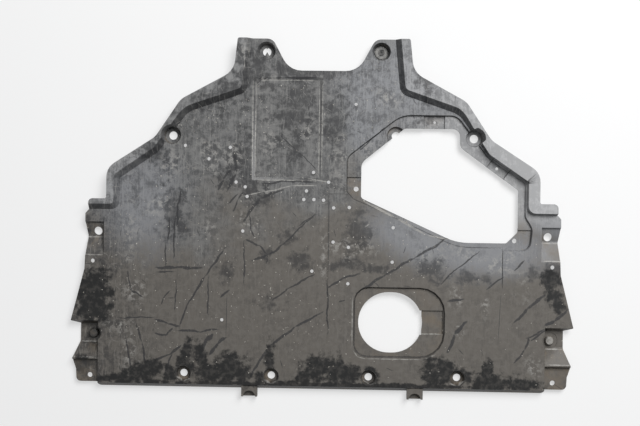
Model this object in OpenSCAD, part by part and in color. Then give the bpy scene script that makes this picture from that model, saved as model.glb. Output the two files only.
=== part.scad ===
// Engine splash shield: one thin moulding, road-side face up, with a push-in
// retainer still seated in one rear tab.
// Millimetres. X runs across the vehicle, Y from the front edge to the rear
// tabs, Z up out of the road-side face. Heights are counted from the face of
// the flat panel, and the whole part is set on the ground at the end.

/* [Overall] */
// Greatest width, over the two side wings
overall_width = 1006; // [960:1:1060]
// Front edge to the ends of the rear tabs
overall_length = 702; // [680:1:730]
// Wall of the moulding, the same everywhere
wall = 3; // [2:0.1:4]

/* [Levels] */
// Height of the rim flange above the panel
flange_height = 10; // [6:0.5:14]
// Depth of the ledge around the big opening
ledge_depth = 5; // [3:0.5:7]
// Extra depth of the stepped fields in the ledge
field_step = 3; // [1.5:0.5:4]
// Depth of the recess around the access hole
access_depth = 5; // [3:0.5:7]
// Depth of the fastener cups
cup_depth = 15; // [12:0.5:20]
// Depth of the four cups along the front edge
front_cup_depth = 12; // [9:0.5:14]
// Depth of the pressed rectangle
rectangle_depth = 3; // [1:0.5:5]
// How far the front edge is turned down
lip_depth = 12; // [8:0.5:14]
// Depth of the deepest steps in the side rails
rail_depth = 14; // [10:0.5:16]

/* [Rear tabs] */
// Centre line to the outer corner of a tab
tab_outer = 172; // [165:1:180]
// Centre line to the inner corner of a tab, before rounding
tab_inner = 103; // [98:1:106]
// Depth of the notch between the tabs
notch_depth = 63.5; // [50:0.5:75]
// Centre line to the inner foot of a tab
notch_foot = 69; // [60:1:78]

/* [Shoulders] */
// Centre line to the straight outer side of a shoulder
shoulder_x = 432; // [426:1:440]
// Rear edge to the corner of a shoulder
shoulder_inset = 263; // [256:1:268]
// Rear edge to the bracket strip of the rim
bracket_inset = 324.5; // [320:0.5:328]
// Width of the bracket strip at the rim level
bracket_strip = 10.5; // [8:0.5:14]
// Length of the sloped wall between rim and panel
rim_run = 11; // [7:0.5:13]

/* [Big opening] */
// Left side of the opening
opening_left = 78; // [72:1:84]
// Right side of the opening
opening_right = 391.5; // [386:0.5:396]
// Rear edge to the opening
opening_inset = 176.5; // [172:0.5:180]
// Length of the opening
opening_length = 227.2; // [220:0.1:232]
// Lean of the ledge wall, sideways per height
ledge_draft = 0.4; // [0.2:0.05:0.5]

/* [Access hole] */
// Middle of the access hole, across
access_x = 139.7; // [135:0.1:145]
// Middle of the access hole, from the front edge
access_y = 137; // [132:1:142]
// Half height of the access hole
access_r = 60.5; // [52:0.5:64]
// How much wider than high the access hole is
access_stretch = 7; // [0:0.5:12]

/* [Fasteners] */
// Centre line to the cups in the rear tabs
tab_cup_x = 115; // [112:0.5:118]
// Rear edge to the cups in the rear tabs
tab_cup_inset = 24.6; // [22:0.2:28]
// Centre line to the middle cups
mid_cup_x = 303; // [300:0.5:305]
// Rear edge to the middle cups
mid_cup_inset = 195.3; // [193:0.1:199]
// Centre line to the outer front cups
front_cup_outer = 274.5; // [262:0.5:286]
// Centre line to the inner front cups
front_cup_inner = 97.6; // [88:0.1:108]
// Front edge to the front cups
front_cup_y = 28; // [25:0.5:36]
// Radius of the holes in the rear and middle cups
cup_hole_r = 8.5; // [6:0.1:10]
// Radius of the holes in the front cups
front_hole_r = 7.5; // [5:0.1:9]
// Radius of the holes in the side rails
rail_hole_r = 8.2; // [6:0.1:9]
// Radius of the drain holes
drain_r = 3.4; // [2:0.1:4.5]

/* [Side rails] */
// Centre line to the inner wall of the rear pocket
rail_inner = 438; // [434:1:441]
// Centre line to the inner wall of the front pocket
rail_front_inner = 447; // [443:1:451]
// Inner wall of a pocket to the fastener hole of its rail
rail_hole_inset = 14; // [10:0.5:20]
// Inner wall of the front pocket to the blind boss
boss_inset = 11; // [8:0.5:16]
// Front edge to the blind boss
boss_y = 105.5; // [100:0.5:110]
// Radius of the round well about the boss
boss_well_r = 16.5; // [13:0.5:18]
// Radius of the boss at its foot
boss_r = 10.5; // [7:0.5:12]

/* [Pressed rectangle] */
// Width of its floor
rectangle_width = 128.5; // [110:0.5:135]
// Length of its floor
rectangle_length = 195.5; // [170:0.5:205]
// Centre line to the middle of the rectangle
rectangle_x = 71.25; // [69:0.25:80]
// Rear edge to the middle of the rectangle
rectangle_inset = 180.25; // [175:0.25:190]
// Length of its sloped sides
rectangle_run = 5.5; // [3:0.5:8]

/* [Front clips] */
// Centre line to the left clip
left_clip_x = 141; // [120:0.5:170]
// Centre line to the right clip
right_clip_x = 190.5; // [160:0.5:215]
// Width of a front clip pocket
clip_width = 32; // [26:1:38]
// How far a clip pocket reaches past the front edge
clip_reach = 16; // [12:1:20]

/* [Retainer] */
// Radius of the retainer flange
retainer_r = 13.4; // [11:0.1:13.8]
// Radius of the head of its centre pin
pin_head_r = 6; // [5:0.1:7]

/* [Hidden] */

$fn = 64;
arc_steps = 5;
eps = 0.02;

half_width = overall_width / 2;
rear = overall_length;
far = 560;                      // beyond every edge
deep = 40;                      // below every wall
middle_y = (rear - clip_reach) / 2;
ground = max(cup_depth, rail_depth + 1) + wall;
shoulder_y = rear - shoulder_inset;
bracket_y = rear - bracket_inset;
opening_rear = rear - opening_inset;
opening_front = opening_rear - opening_length;
tab_cup_y = rear - tab_cup_inset;
mid_cup_y = rear - mid_cup_inset;

function unit(v) = v / norm(v);
function xy(p) = [p[0], p[1]];
function turned(a) = a > 180 ? a - 360 : (a < -180 ? a + 360 : a);
function backwards(list) = [for (i = [len(list) - 1 : -1 : 0]) list[i]];
function mirrored(half) = concat(half, [for (p = backwards(half)) [-p[0], p[1], p[2]]]);
function twice_area(p) = let (n = len(p))
    [for (i = 0, s = 0; i <= n; s = s + (i < n ? cross(p[i], p[(i + 1) % n]) : 0), i = i + 1) s][n];

// The points of one corner [x, y, radius] between its neighbours.
function corner(a, b, c) = b[2] == 0 ? [xy(b)] :
    let (u = unit(xy(a) - xy(b)), v = unit(xy(c) - xy(b)),
         half = acos(u * v) / 2,
         middle = xy(b) + unit(u + v) * b[2] / sin(half),
         from = xy(b) + u * b[2] / tan(half) - middle,
         to = xy(b) + v * b[2] / tan(half) - middle,
         first = atan2(from[1], from[0]),
         sweep = turned(atan2(to[1], to[0]) - first))
    [for (i = [0 : arc_steps])
        middle + b[2] * [cos(first + sweep * i / arc_steps), sin(first + sweep * i / arc_steps)]];

// A closed outline from corners [x, y, radius].
function rounded(c) = let (n = len(c))
    [for (i = [0 : n - 1]) each corner(c[(i + n - 1) % n], c[i], c[(i + 1) % n])];

// The same outline with every side moved outwards by d.
function grown(p, d) = let (n = len(p), s = twice_area(p) > 0 ? 1 : -1)
    [for (i = [0 : n - 1])
        let (e = unit(p[i] - p[(i + n - 1) % n]), f = unit(p[(i + 1) % n] - p[i]),
             en = s * [e[1], -e[0]], fn = s * [f[1], -f[0]])
        p[i] + (en + fn) * d / (1 + en * fn)];

// A body between two outlines with the same number of points. All of both
// outlines is in plain sight of the point "heart", from which the ends are fanned.
module between(low, high, z0, z1, heart) {
    flip = twice_area(low) < 0;
    a = flip ? backwards(low) : low;
    b = flip ? backwards(high) : high;
    n = len(a);
    polyhedron(
        points = concat([for (p = a) [p[0], p[1], z0]], [for (p = b) [p[0], p[1], z1]],
            [[heart[0], heart[1], z0], [heart[0], heart[1], z1]]),
        faces = [for (i = [0 : n - 1]) let (j = (i + 1) % n)
            each [[2 * n, i, j], [2 * n + 1, n + j, n + i], [i, n + i, n + j], [i, n + j, j]]]);
}

// A prism along X from a profile of [y, z] points, its sides moved outwards by d.
module along_x(profile, x0, x1, d) {
    translate([x0, 0, 0]) rotate([90, 0, 90]) linear_extrude(x1 - x0)
        if (d > 0) offset(delta = d) polygon(profile);
        else polygon(profile);
}

// Outer edge, from the rear notch round to the front.
edge_corners = mirrored([
    [notch_foot, rear - notch_depth, 42],
    [tab_inner, rear, 18],
    [tab_outer, rear, 4],
    [tab_outer + 7, rear - 66.5, 40],
    [284.5, rear - 124, 40],
    [335, shoulder_y + 63, 40],
    [shoulder_x, shoulder_y, 34],
    [shoulder_x, bracket_y, 4],
    [shoulder_x + 36, bracket_y, 9],
    [shoulder_x + 36.5, bracket_y - 21.5, 0],
    [shoulder_x + 44, bracket_y - 30, 3],
    [shoulder_x + 44, bracket_y - 49.5, 0],
    [shoulder_x + 40, bracket_y - 79.5, 0],
    [shoulder_x + 43.5, bracket_y - 115.5, 0],
    [shoulder_x + 44.5, bracket_y - 141.5, 0],
    [half_width, 131, 2],
    [485.5, 125, 1],
    [485.5, 88, 1],
    [half_width - 4.5, 56.5, 1],
    [half_width - 3.5, 52, 1],
    [493, 33, 4],
    [491.5, 8, 9],
    [rail_front_inner, 8, 0],
    [rail_front_inner, 0, 6]]);

// Panel inside the rim, at the foot of the sloped wall.
field_foot = mirrored([
    [137, rear + 58, 0],
    [153.5, rear - 108, 22],
    [271.5, rear - 148.5, 45],
    [330, shoulder_y + 33.5, 24],
    [shoulder_x - 25, shoulder_y - 19.5, 5],
    [shoulder_x - 25, bracket_y - bracket_strip - rim_run, 17],
    [far, bracket_y - bracket_strip - rim_run, 0],
    [far, -far, 0]]);

opening_corners = [
    [opening_left, opening_rear - 69.5, 22],
    [opening_left + 85.5, opening_rear, 15],
    [274.5, opening_rear, 15],
    [274.5, opening_rear - 36.5, 18],
    [opening_right, opening_rear - 121, 6],
    [opening_right, opening_front + 22, 6],
    [opening_right - 22, opening_front, 6],
    [270, opening_front, 110],
    [opening_left, opening_front + 86.7, 8]];

ledge_corners = [
    [opening_left - 27.5, opening_rear - 59.5, 20],
    [opening_left + 79, rear - 152, 55],
    [267, rear - 152, 25],
    [327.3, shoulder_y + 31, 20],
    [shoulder_x - 28.2, shoulder_y - 21.4, 6],
    [shoulder_x - 28.2, bracket_y - 26.5, 20],
    [opening_right + 27, opening_front + 29.7, 24],
    [opening_right + 22.5, opening_front - 13.5, 18],
    [opening_right - 28, opening_front - 13.5, 0],
    [opening_right - 34, opening_front - 8, 0],
    [272, opening_front - 8, 110],
    [opening_left + 14, opening_front + 73.7, 14],
    [opening_left - 14, opening_front + 85.2, 8],
    [opening_left - 27.5, opening_front + 99.7, 8]];

recess_corners = [
    [access_x - 73.7, access_y + 70.6, 30],
    [access_x + 109.3, access_y + 70.6, 50],
    [access_x + 108.3, access_y - 70, 50],
    [access_x - 73.7, access_y - 70, 27]];

// Profiles of the side rails, [y, z], from the rear to the front.
rear_pocket = [for (p = [[46.5, deep], [46.5, 0], [49.5, -rail_depth * 0.35], [74.5, -rail_depth],
    [78, 2 - rail_depth], [113.5, -1.2], [115.5, 0], [115.5, deep]]) [bracket_y - p[0], p[1]]];
front_pocket = [[131.5, deep], [131.5, 0], [125, -rail_depth], [91.5, -rail_depth],
    [88, 2.5 - rail_depth], [59, -1.5], [57, 0], [54.5, 0], [52, -8], [-30, -8], [-30, deep]];

// Drain holes, [x, distance ahead of the rear edge], then [x, distance from the front edge].
rear_drains = [[-17.7, 266.8], [12.8, 286.2], [-31.4, 304.2], [-36.4, 321.4], [-16.2, 321.2],
    [3.1, 322.3], [23.5, 337.4], [54.8, 336.2], [143, 375.3], [54.1, 415.8], [23.4, 405.8],
    [-276, 215.8], [-185.3, 218.6], [-228, 242.1], [-172.9, 288.2], [-154.3, 297.6],
    [-150.2, 316.7], [65.8, 129.6], [-158.1, 386.2]];
front_drains = [[141.9, 257.8], [-18.4, 237.4], [-197.8, 137.1], [53.9, 213.3]];
drain_holes = concat([for (p = rear_drains) [p[0], rear - p[1]]], front_drains);
ledge_holes = [[223.6, opening_rear + 12.9, 2.6], [348.5, opening_rear - 78.4, 3],
    [385.3, opening_front + 5.1, 4.6], [68.1, opening_front + 104.7, 4.9]];

// Everything above the face, the face being lowered and widened by d.
module above_face(d) {
    foot = grown(rounded(field_foot), d * 0.42);
    between(foot, grown(foot, rim_run * 1.3), -d, flange_height * 1.3 - d, [0, bracket_y - 77]);
    ledge(d);
    access_recess(d);
    pressed_rectangle(d);
    side_pockets(d);
    cups(d);
    along_x([[7, deep], [7, 0], [0, -lip_depth], [-14, -lip_depth - 24], [-30, deep]],
        -rail_front_inner - 1, rail_front_inner + 1, d);
}

module ledge(d) {
    height = ledge_depth + 0.6;
    base = grown(rounded(ledge_corners), d * 0.65);
    between(base, grown(base, ledge_draft * height), -ledge_depth - d, height - ledge_depth - d,
        [235, opening_front + 122]);
    intersection() {
        translate([0, 0, -ledge_depth - field_step - d])
            linear_extrude(field_step + 1) polygon(base);
        union() {
            translate([202.5 - d, opening_rear - 25.5, -deep]) cube([41 + 2 * d, 70, deep]);
            translate([368.8, opening_rear - 88.5, -deep]) rotate([0, 0, 145.2])
                translate([-d, -60, -deep]) cube([41 + 2 * d, 120, 2 * deep]);
            translate([opening_right - 25.5 - d, opening_front - 28.3, -deep])
                cube([70, 55.5 + d, deep]);
            translate([opening_left - 48, opening_front + 90.2 - d, -deep]) cube([70, 38.5 + 2 * d, deep]);
        }
    }
}

module access_recess(d) {
    rim = rounded(recess_corners);
    floor_line = grown(rim, d * 0.5 - 3);
    between(floor_line, grown(floor_line, 6), -access_depth - d, access_depth - d,
        [access_x, access_y]);
    translate([access_x + 50, access_y - 22 - d, -access_depth - field_step - d])
        cube([55 + d, 47 + 2 * d, field_step + 1]);
}

module pressed_rectangle(d) {
    middle = [-rectangle_x, rear - rectangle_inset];
    reach = [rectangle_width, rectangle_length] / 2;
    floor_line = grown([for (c = [[-1, -1], [1, -1], [1, 1], [-1, 1]])
        middle + [c[0] * reach[0], c[1] * reach[1]]], d * 0.3);
    between(floor_line, grown(floor_line, 2 * rectangle_run), -rectangle_depth - d,
        rectangle_depth - d, middle);
}

module side_pockets(d) {
    for (side = [0, 1]) mirror([side, 0, 0]) {
        along_x(rear_pocket, rail_inner - d, far, d);
        along_x(front_pocket, rail_front_inner - d, far, d);
        translate([rail_front_inner + boss_inset, boss_y, -rail_depth - 1 - d])
            cylinder(h = deep, r = boss_well_r + d);
    }
}

module cup(x, y, rim_r, floor_r, depth, top, d) {
    translate([x, y, -d]) rotate_extrude()
        polygon([[0, -depth], [floor_r + d, -depth], [rim_r + d, top], [rim_r + d, top + 15],
            [0, top + 15]]);
}

module cups(d) {
    for (side = [-1, 1]) {
        cup(side * tab_cup_x, tab_cup_y, 18.5, 14.2, cup_depth, 0, d);
        cup(side * mid_cup_x, mid_cup_y, 20.5, 15, cup_depth, flange_height, d);
        cup(side * front_cup_outer, front_cup_y, 16, 12.5, front_cup_depth, 0, d);
        cup(side * front_cup_inner, front_cup_y - 2, 16, 12.5, front_cup_depth, 0, d);
    }
    cup(opening_left + 68.5, opening_rear - 15, 20, 16, cup_depth - 3, 0, d);
}

module openings() {
    translate([0, 0, -deep]) linear_extrude(2 * deep) polygon(rounded(opening_corners));
    for (side = [-1, 1]) translate([access_x + side * access_stretch / 2, access_y, -deep])
        cylinder(h = 2 * deep, r = access_r);
    translate([access_x - access_stretch / 2, access_y - access_r, -deep])
        cube([max(access_stretch, eps), 2 * access_r, 2 * deep]);
    translate([access_x + 30, access_y - 24.5, -deep]) cube([32.5, 49, 2 * deep]);
}

module holes() {
    for (side = [-1, 1]) {
        drill(side * tab_cup_x, tab_cup_y, cup_hole_r);
        drill(side * mid_cup_x, mid_cup_y, cup_hole_r);
        drill(side * front_cup_outer, front_cup_y, front_hole_r);
        drill(side * front_cup_inner, front_cup_y - 2, front_hole_r);
        drill(side * (rail_inner + rail_hole_inset), bracket_y - 65.5, rail_hole_r);
        drill(side * (rail_inner + 22), bracket_y - 125.5, drain_r + 0.6);
        drill(side * (rail_front_inner + 17.5), 21, drain_r + 1.6);
    }
    drill(opening_left + 68.5, opening_rear - 15, cup_hole_r);
    for (p = drain_holes) drill(p[0], p[1], drain_r);
    for (p = ledge_holes) drill(p[0], p[1], p[2]);
}

module drill(x, y, r) {
    translate([x, y, -deep]) cylinder(h = 2 * deep, r = r);
}

// Shallow lines where the tool halves meet.
module witness_lines() {
    line_depth = 0.8;
    along = [[11.5, rear - 310, 66, rear - 310], [11.5, rear - 310, 13.5, 116],
        [361, opening_front - 13.3, 361, 210]];
    for (a = along)
        translate([a[0], a[1], -line_depth])
            rotate([0, 0, atan2(a[3] - a[1], a[2] - a[0])])
                translate([0, -1.1, 0])
                    cube([norm([a[2] - a[0], a[3] - a[1]]), 2.2, line_depth + 1]);
}

// Blind boss in the front pocket of each side rail.
module rail_boss() {
    translate([rail_front_inner + boss_inset, boss_y, -rail_depth - 1 - wall / 2])
        cylinder(h = 8 + wall / 2, r1 = boss_r, r2 = boss_r - 3);
}

// Box-shaped pocket under the front edge, with an arched mouth.
module front_clip(x) {
    inside = clip_width - 2 * wall;
    translate([x - clip_width / 2, -clip_reach, -lip_depth - 2])
        difference() {
            cube([clip_width, clip_reach + 7, lip_depth]);
            translate([wall, -1, wall]) cube([inside, clip_reach + 3, lip_depth - 2 * wall]);
            translate([clip_width / 2, 0, lip_depth / 2]) cylinder(h = deep, r = inside / 2 - 1);
        }
}

// Two prongs left in the hole of the empty rear tab.
module hole_prongs() {
    thick = wall - 0.4;
    translate([-tab_cup_x, tab_cup_y, -cup_depth - wall + 0.2]) linear_extrude(thick) {
        polygon([[-5.2, -cup_hole_r - 1], [5.2, -cup_hole_r - 1], [0.6, -0.6], [-0.6, -0.6]]);
        polygon([[-2.4, cup_hole_r + 1], [2.4, cup_hole_r + 1], [0, cup_hole_r - 2]]);
    }
}

module moulding() {
    difference() {
        translate([0, 0, -deep]) linear_extrude(deep + flange_height)
            polygon(rounded(edge_corners));
        above_face(0);
        difference() {
            translate([-far, -far, -deep - 1]) cube([2 * far, 3 * far, deep + 1 + flange_height - wall]);
            above_face(wall);
        }
        openings();
        holes();
        witness_lines();
    }
    for (side = [0, 1]) mirror([side, 0, 0]) rail_boss();
    front_clip(-left_clip_x);
    front_clip(right_clip_x);
    hole_prongs();
}

module shield() {
    color([0.17, 0.17, 0.18]) translate([0, -middle_y, ground]) moulding();
}

// Push-in retainer in the other rear tab: split grommet and centre pin.
module at_retainer() {
    translate([tab_cup_x, tab_cup_y - middle_y, ground - cup_depth]) children();
}

module retainer_grommet() {
    shank_r = cup_hole_r - 0.3;
    color([0.72, 0.71, 0.68]) at_retainer() difference() {
        union() {
            cylinder(h = 1.4, r = retainer_r);
            translate([0, 0, 1.4 - eps]) cylinder(h = 1.2, r1 = retainer_r - 0.2, r2 = retainer_r - 1.6);
            translate([0, 0, -wall]) cylinder(h = wall + eps, r = shank_r);
        }
        translate([0, 0, 1.6]) cylinder(h = 5, r = pin_head_r + 0.3);
        translate([0, 0, -wall - 1]) cylinder(h = wall + 5, r = pin_head_r * 0.6 + 0.1);
        translate([-retainer_r, -0.8, -wall - 1]) cube([2 * retainer_r, 1.6, wall + 0.6]);
    }
}

module retainer_pin() {
    color([0.62, 0.61, 0.58]) at_retainer() difference() {
        union() {
            translate([0, 0, 1.6]) cylinder(h = 1.6, r1 = pin_head_r, r2 = pin_head_r - 0.6);
            translate([0, 0, -wall]) cylinder(h = wall + 2, r = pin_head_r * 0.6);
        }
        for (a = [0, 90]) rotate([0, 0, a + 20])
            translate([-pin_head_r * 0.65, -0.9, 1.9]) cube([pin_head_r * 1.3, 1.8, 3]);
    }
}

shield();
retainer_grommet();
retainer_pin();
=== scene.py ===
"""Looks of the engine splash shield: worn black moulding, seated retainer, dried mud and a pale floor."""
import logging
import math
from dataclasses import dataclass, field
from enum import Enum
from typing import NamedTuple

import bmesh
import bpy
from mathutils import Matrix, Vector


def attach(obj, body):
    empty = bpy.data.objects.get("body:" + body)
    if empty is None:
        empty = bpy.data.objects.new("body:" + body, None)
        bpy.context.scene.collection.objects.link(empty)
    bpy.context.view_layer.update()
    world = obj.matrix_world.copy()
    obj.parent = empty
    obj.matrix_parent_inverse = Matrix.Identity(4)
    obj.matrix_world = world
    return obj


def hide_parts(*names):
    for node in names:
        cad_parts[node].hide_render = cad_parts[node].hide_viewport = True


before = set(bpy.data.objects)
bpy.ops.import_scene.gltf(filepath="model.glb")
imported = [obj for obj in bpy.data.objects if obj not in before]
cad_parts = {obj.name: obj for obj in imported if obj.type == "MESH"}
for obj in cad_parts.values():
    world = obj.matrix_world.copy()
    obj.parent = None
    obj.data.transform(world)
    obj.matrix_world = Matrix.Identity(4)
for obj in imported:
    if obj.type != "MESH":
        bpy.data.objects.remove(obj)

LOG = logging.getLogger("splash_shield")
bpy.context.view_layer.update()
PANEL_Z = 0.018          # face of the flat panel above the ground
RIM_RISE = 0.010         # rim above the panel
LEDGE_DROP = 0.005       # ledge below the panel
MM = 1000.0              # millimetres in a metre
OVERLAP = 1.12           # how far the stretches of a line mark reach into each other
FULL_TURN = 6.28
Colour = tuple[float, float, float]
Ellipse = tuple[float, float, float, float, float]
Socket = bpy.types.NodeSocket


class Slot(Enum):
    """Names of material slots."""

    SHIELD = "shield_plastic"
    GROMMET = "grommet_plastic"
    PIN = "pin_plastic"


class Layer(Enum):
    """What a mark on the moulding is."""

    GOUGE = "dark score cut through the dust"
    # Mostly tool lines. A few stand for shaded step walls, as painted shade.
    SEAM_AND_SHADE = "fine dark line of the tool"
    # Painted highlight: pale lines on folds and edges that catch the light, partly worn pale.
    EDGE_HIGHLIGHT = "fold or edge worn pale"
    GREASE = "black wet patch"
    RUBBED = "bare plastic that shows through the dust"
    CHALK = "pale dry scuff"
    # Painted sheen: these zones are lighter and cooler than the dusty film. They stand for the lamp's sheen on
    # cleaner, smoother plastic.
    CLEAN_SHEEN = "cool, smooth plastic with little dust"


class Score(NamedTuple):
    """A line mark in millimetres: half its width, and the points that it runs through."""

    half_width: float
    points: tuple[tuple[float, float], ...]


class Patch(NamedTuple):
    """A soft mark in millimetres: its middle, its half sizes and its turn in degrees."""

    x: float
    y: float
    half_x: float
    half_y: float
    turn: float = 0.0


SCORES: dict[Layer, tuple[Score, ...]] = {
    Layer.GOUGE: (
        Score(2, ((-196, -66), (-233, -119), (-267, -177), (-282, -219))),
        Score(2.6, ((-139, -316), (-100, -255), (-50, -219), (-1, -190))),
        Score(2, ((-370, -219), (-357, -254), (-350, -297))),
        Score(1.4, ((-390, -245), (-379, -310))),
        Score(2.4, ((-330, -208), (-307, -216), (-282, -219))),
        Score(2.4, ((-336, -289), (-301, -277), (-279, -258))),
        Score(1.8, ((-313, -319), (-298, -278))),
        Score(1.8, ((-332, -234), (-309, -238), (-297, -223))),
        Score(1.8, ((-94, -164), (-62, -139), (-18, -114))),
        Score(2.2, ((-135, -85), (-103, -73), (-78, -54))),
        Score(1.6, ((-78, -54), (-18, 4))),
        Score(1.8, ((-151, -45), (-123, -57), (-108, -75), (-110, -90))),
        Score(1.4, ((-155, -48), (-154, -130))),
        Score(1.8, ((-292, 0), (-297, -32), (-296, -80))),
        Score(1.6, ((-305, -2), (-308, -45))),
        Score(1.4, ((-313, -58), (-312, -110))),
        Score(2.6, ((-329, -104), (-290, -102), (-243, -103))),
        Score(1.6, ((-328, -111), (-296, -110))),
        Score(1.4, ((-226, -126), (-226, -197))),
        Score(1.2, ((-290, -133), (-293, -183))),
        Score(1.8, ((-199, -159), (-184, -147))),
        Score(1.4, ((-320, -176), (-314, -161), (-303, -148))),
        Score(1.8, ((-384, -147), (-356, -164))),
        Score(1.2, ((-389, -111), (-381, -149))),
        Score(1.4, ((-403, -205), (-332, -203))),
        Score(1.6, ((13, -133), (15, -223))),
        Score(3.4, ((-220, -277), (-206, -252), (-188, -242))),
        Score(3.8, ((-241, -277), (-228, -247), (-216, -237))),
        Score(2.2, ((-282, -228), (-240, -230), (-206, -226))),
        Score(1.4, ((-144, 5), (-142, -25), (-136, -40))),
        Score(2.6, ((79, -144), (128, -111), (187, -75), (251, -37))),
        Score(2.2, ((16, -138), (43, -120), (73, -109))),
        Score(1.5, ((240, -127), (272, -96), (311, -63))),
        Score(1.8, ((332, -135), (361, -112))),
        Score(2.8, ((387, -201), (412, -174), (446, -146))),
        Score(2, ((388, -281), (408, -256), (415, -231), (447, -215))),
        Score(2, ((386, -98), (403, -79))),
        Score(3.4, ((254, -263), (269, -228), (288, -203))),
        Score(3.4, ((447, -205), (466, -198), (488, -177))),
        Score(2.6, ((466, -145), (470, -166), (476, -185))),
        Score(1.4, ((324, -287), (325, -312))),
        Score(1.8, ((418, -236), (457, -213))),
        Score(2.2, ((255, -161), (285, -156))),
        Score(1.4, ((39, -167), (49, -162))),
        Score(1.8, ((-289, -17), (-289, 23), (-283, 53))),
        Score(1.8, ((-184, 30), (-170, 45))),
        Score(1, ((-86, 166), (-50, 134), (-10, 97))),
        Score(3, ((-176, 125), (-172, 90), (-189, 55))),
        Score(2.6, ((-210, 54), (-198, 74), (-185, 95))),
        Score(2.8, ((-154, -5), (-124, 40), (-79, 56))),
        Score(1.6, ((-179, 12), (-168, 34), (-160, 50))),
        Score(1.2, ((-43, -14), (-16, 7))),
        Score(1.2, ((75, 138), (124, 183))),
        Score(2, ((-120, 68), (-70, 74), (-16, 71))),
    ),
    Layer.SEAM_AND_SHADE: (
        Score(1.1, ((361, -52), (361, -136))),
        Score(0.9, ((14, 50), (15, -110))),
        Score(0.7, ((-188, -150), (-189, -245))),
        Score(1, ((-440, -336), (-150, -337), (150, -337), (440, -336))),
        Score(1, ((201.7, 209), (202.5, 183))),
        # Painted shade: the next two lines darken the shaded step walls in the right ledge, and the third darkens the
        # shaded top wall of the pressed rectangle.
        Score(1.2, ((341.5, 126), (326, 104))),
        Score(1.2, ((375.5, 103), (360.5, 82))),
        Score(2.8, ((-78, 281.5), (-12, 281.5))),
        Score(0.6, ((359, -140), (354, -248))),
    ),
    # Painted highlights on folds, edges and the lower rims of the cups, partly worn pale.
    Layer.EDGE_HIGHLIGHT: (
        Score(1.3, ((-141, 76), (-141, 282))),
        Score(1.2, ((-135.2, 81), (-135.2, 276))),
        Score(1.2, ((-7.4, 81), (-7.4, 276))),
        Score(1.3, ((-1.6, 76), (-1.6, 282))),
        Score(1.2, ((-141, 75.5), (-2, 75.5))),
        Score(0.9, ((-135, 276.5), (-7, 276.5))),
        Score(1.4, ((-497, -43.5), (-440, -43.5))),
        Score(1.4, ((-497, -79), (-440, -79))),
        Score(1.4, ((440, -43.5), (497, -43.5))),
        Score(1.4, ((440, -79), (497, -79))),
        Score(1.4, ((-485, -255), (-449, -255))),
        Score(1.4, ((-500, -285), (-449, -285))),
        Score(1.4, ((449, -255), (485, -255))),
        Score(1.4, ((449, -285), (500, -285))),
        Score(2.8, ((84, 36), (150, 2), (205, -28))),
        Score(1.6, ((205, -29), (260, -40), (340, -44))),
        Score(1.2, ((63.5, -155), (63.5, -252))),
        Score(1.2, ((65.5, -262), (75, -275), (91, -278.8), (205, -278.8), (232, -268))),
        Score(1.3, ((192, -228), (243, -228))),
        Score(1.4, ((-100, 55), (-60, 65), (-10, 66))),
        Score(1.2, ((-160, 42), (-120, 52), (-70, 58))),
        Score(1.2, ((-30, 80), (20, 72))),
        Score(10, ((449, -237.5), (465.2, -237.5))),
        Score(1.2, ((-288, -322), (-274, -331), (-260, -324))),
        Score(1.4, ((-113, -324), (-98, -333), (-83, -326))),
        Score(1.2, ((87, -324), (101, -332), (114, -326))),
        Score(1.4, ((260, -325), (275, -332), (291, -318))),
        Score(1.6, ((85.7, -16.2), (95.6, -9.6))),
        Score(1, ((-157, 290), (-159, 330))),
    ),
}

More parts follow.
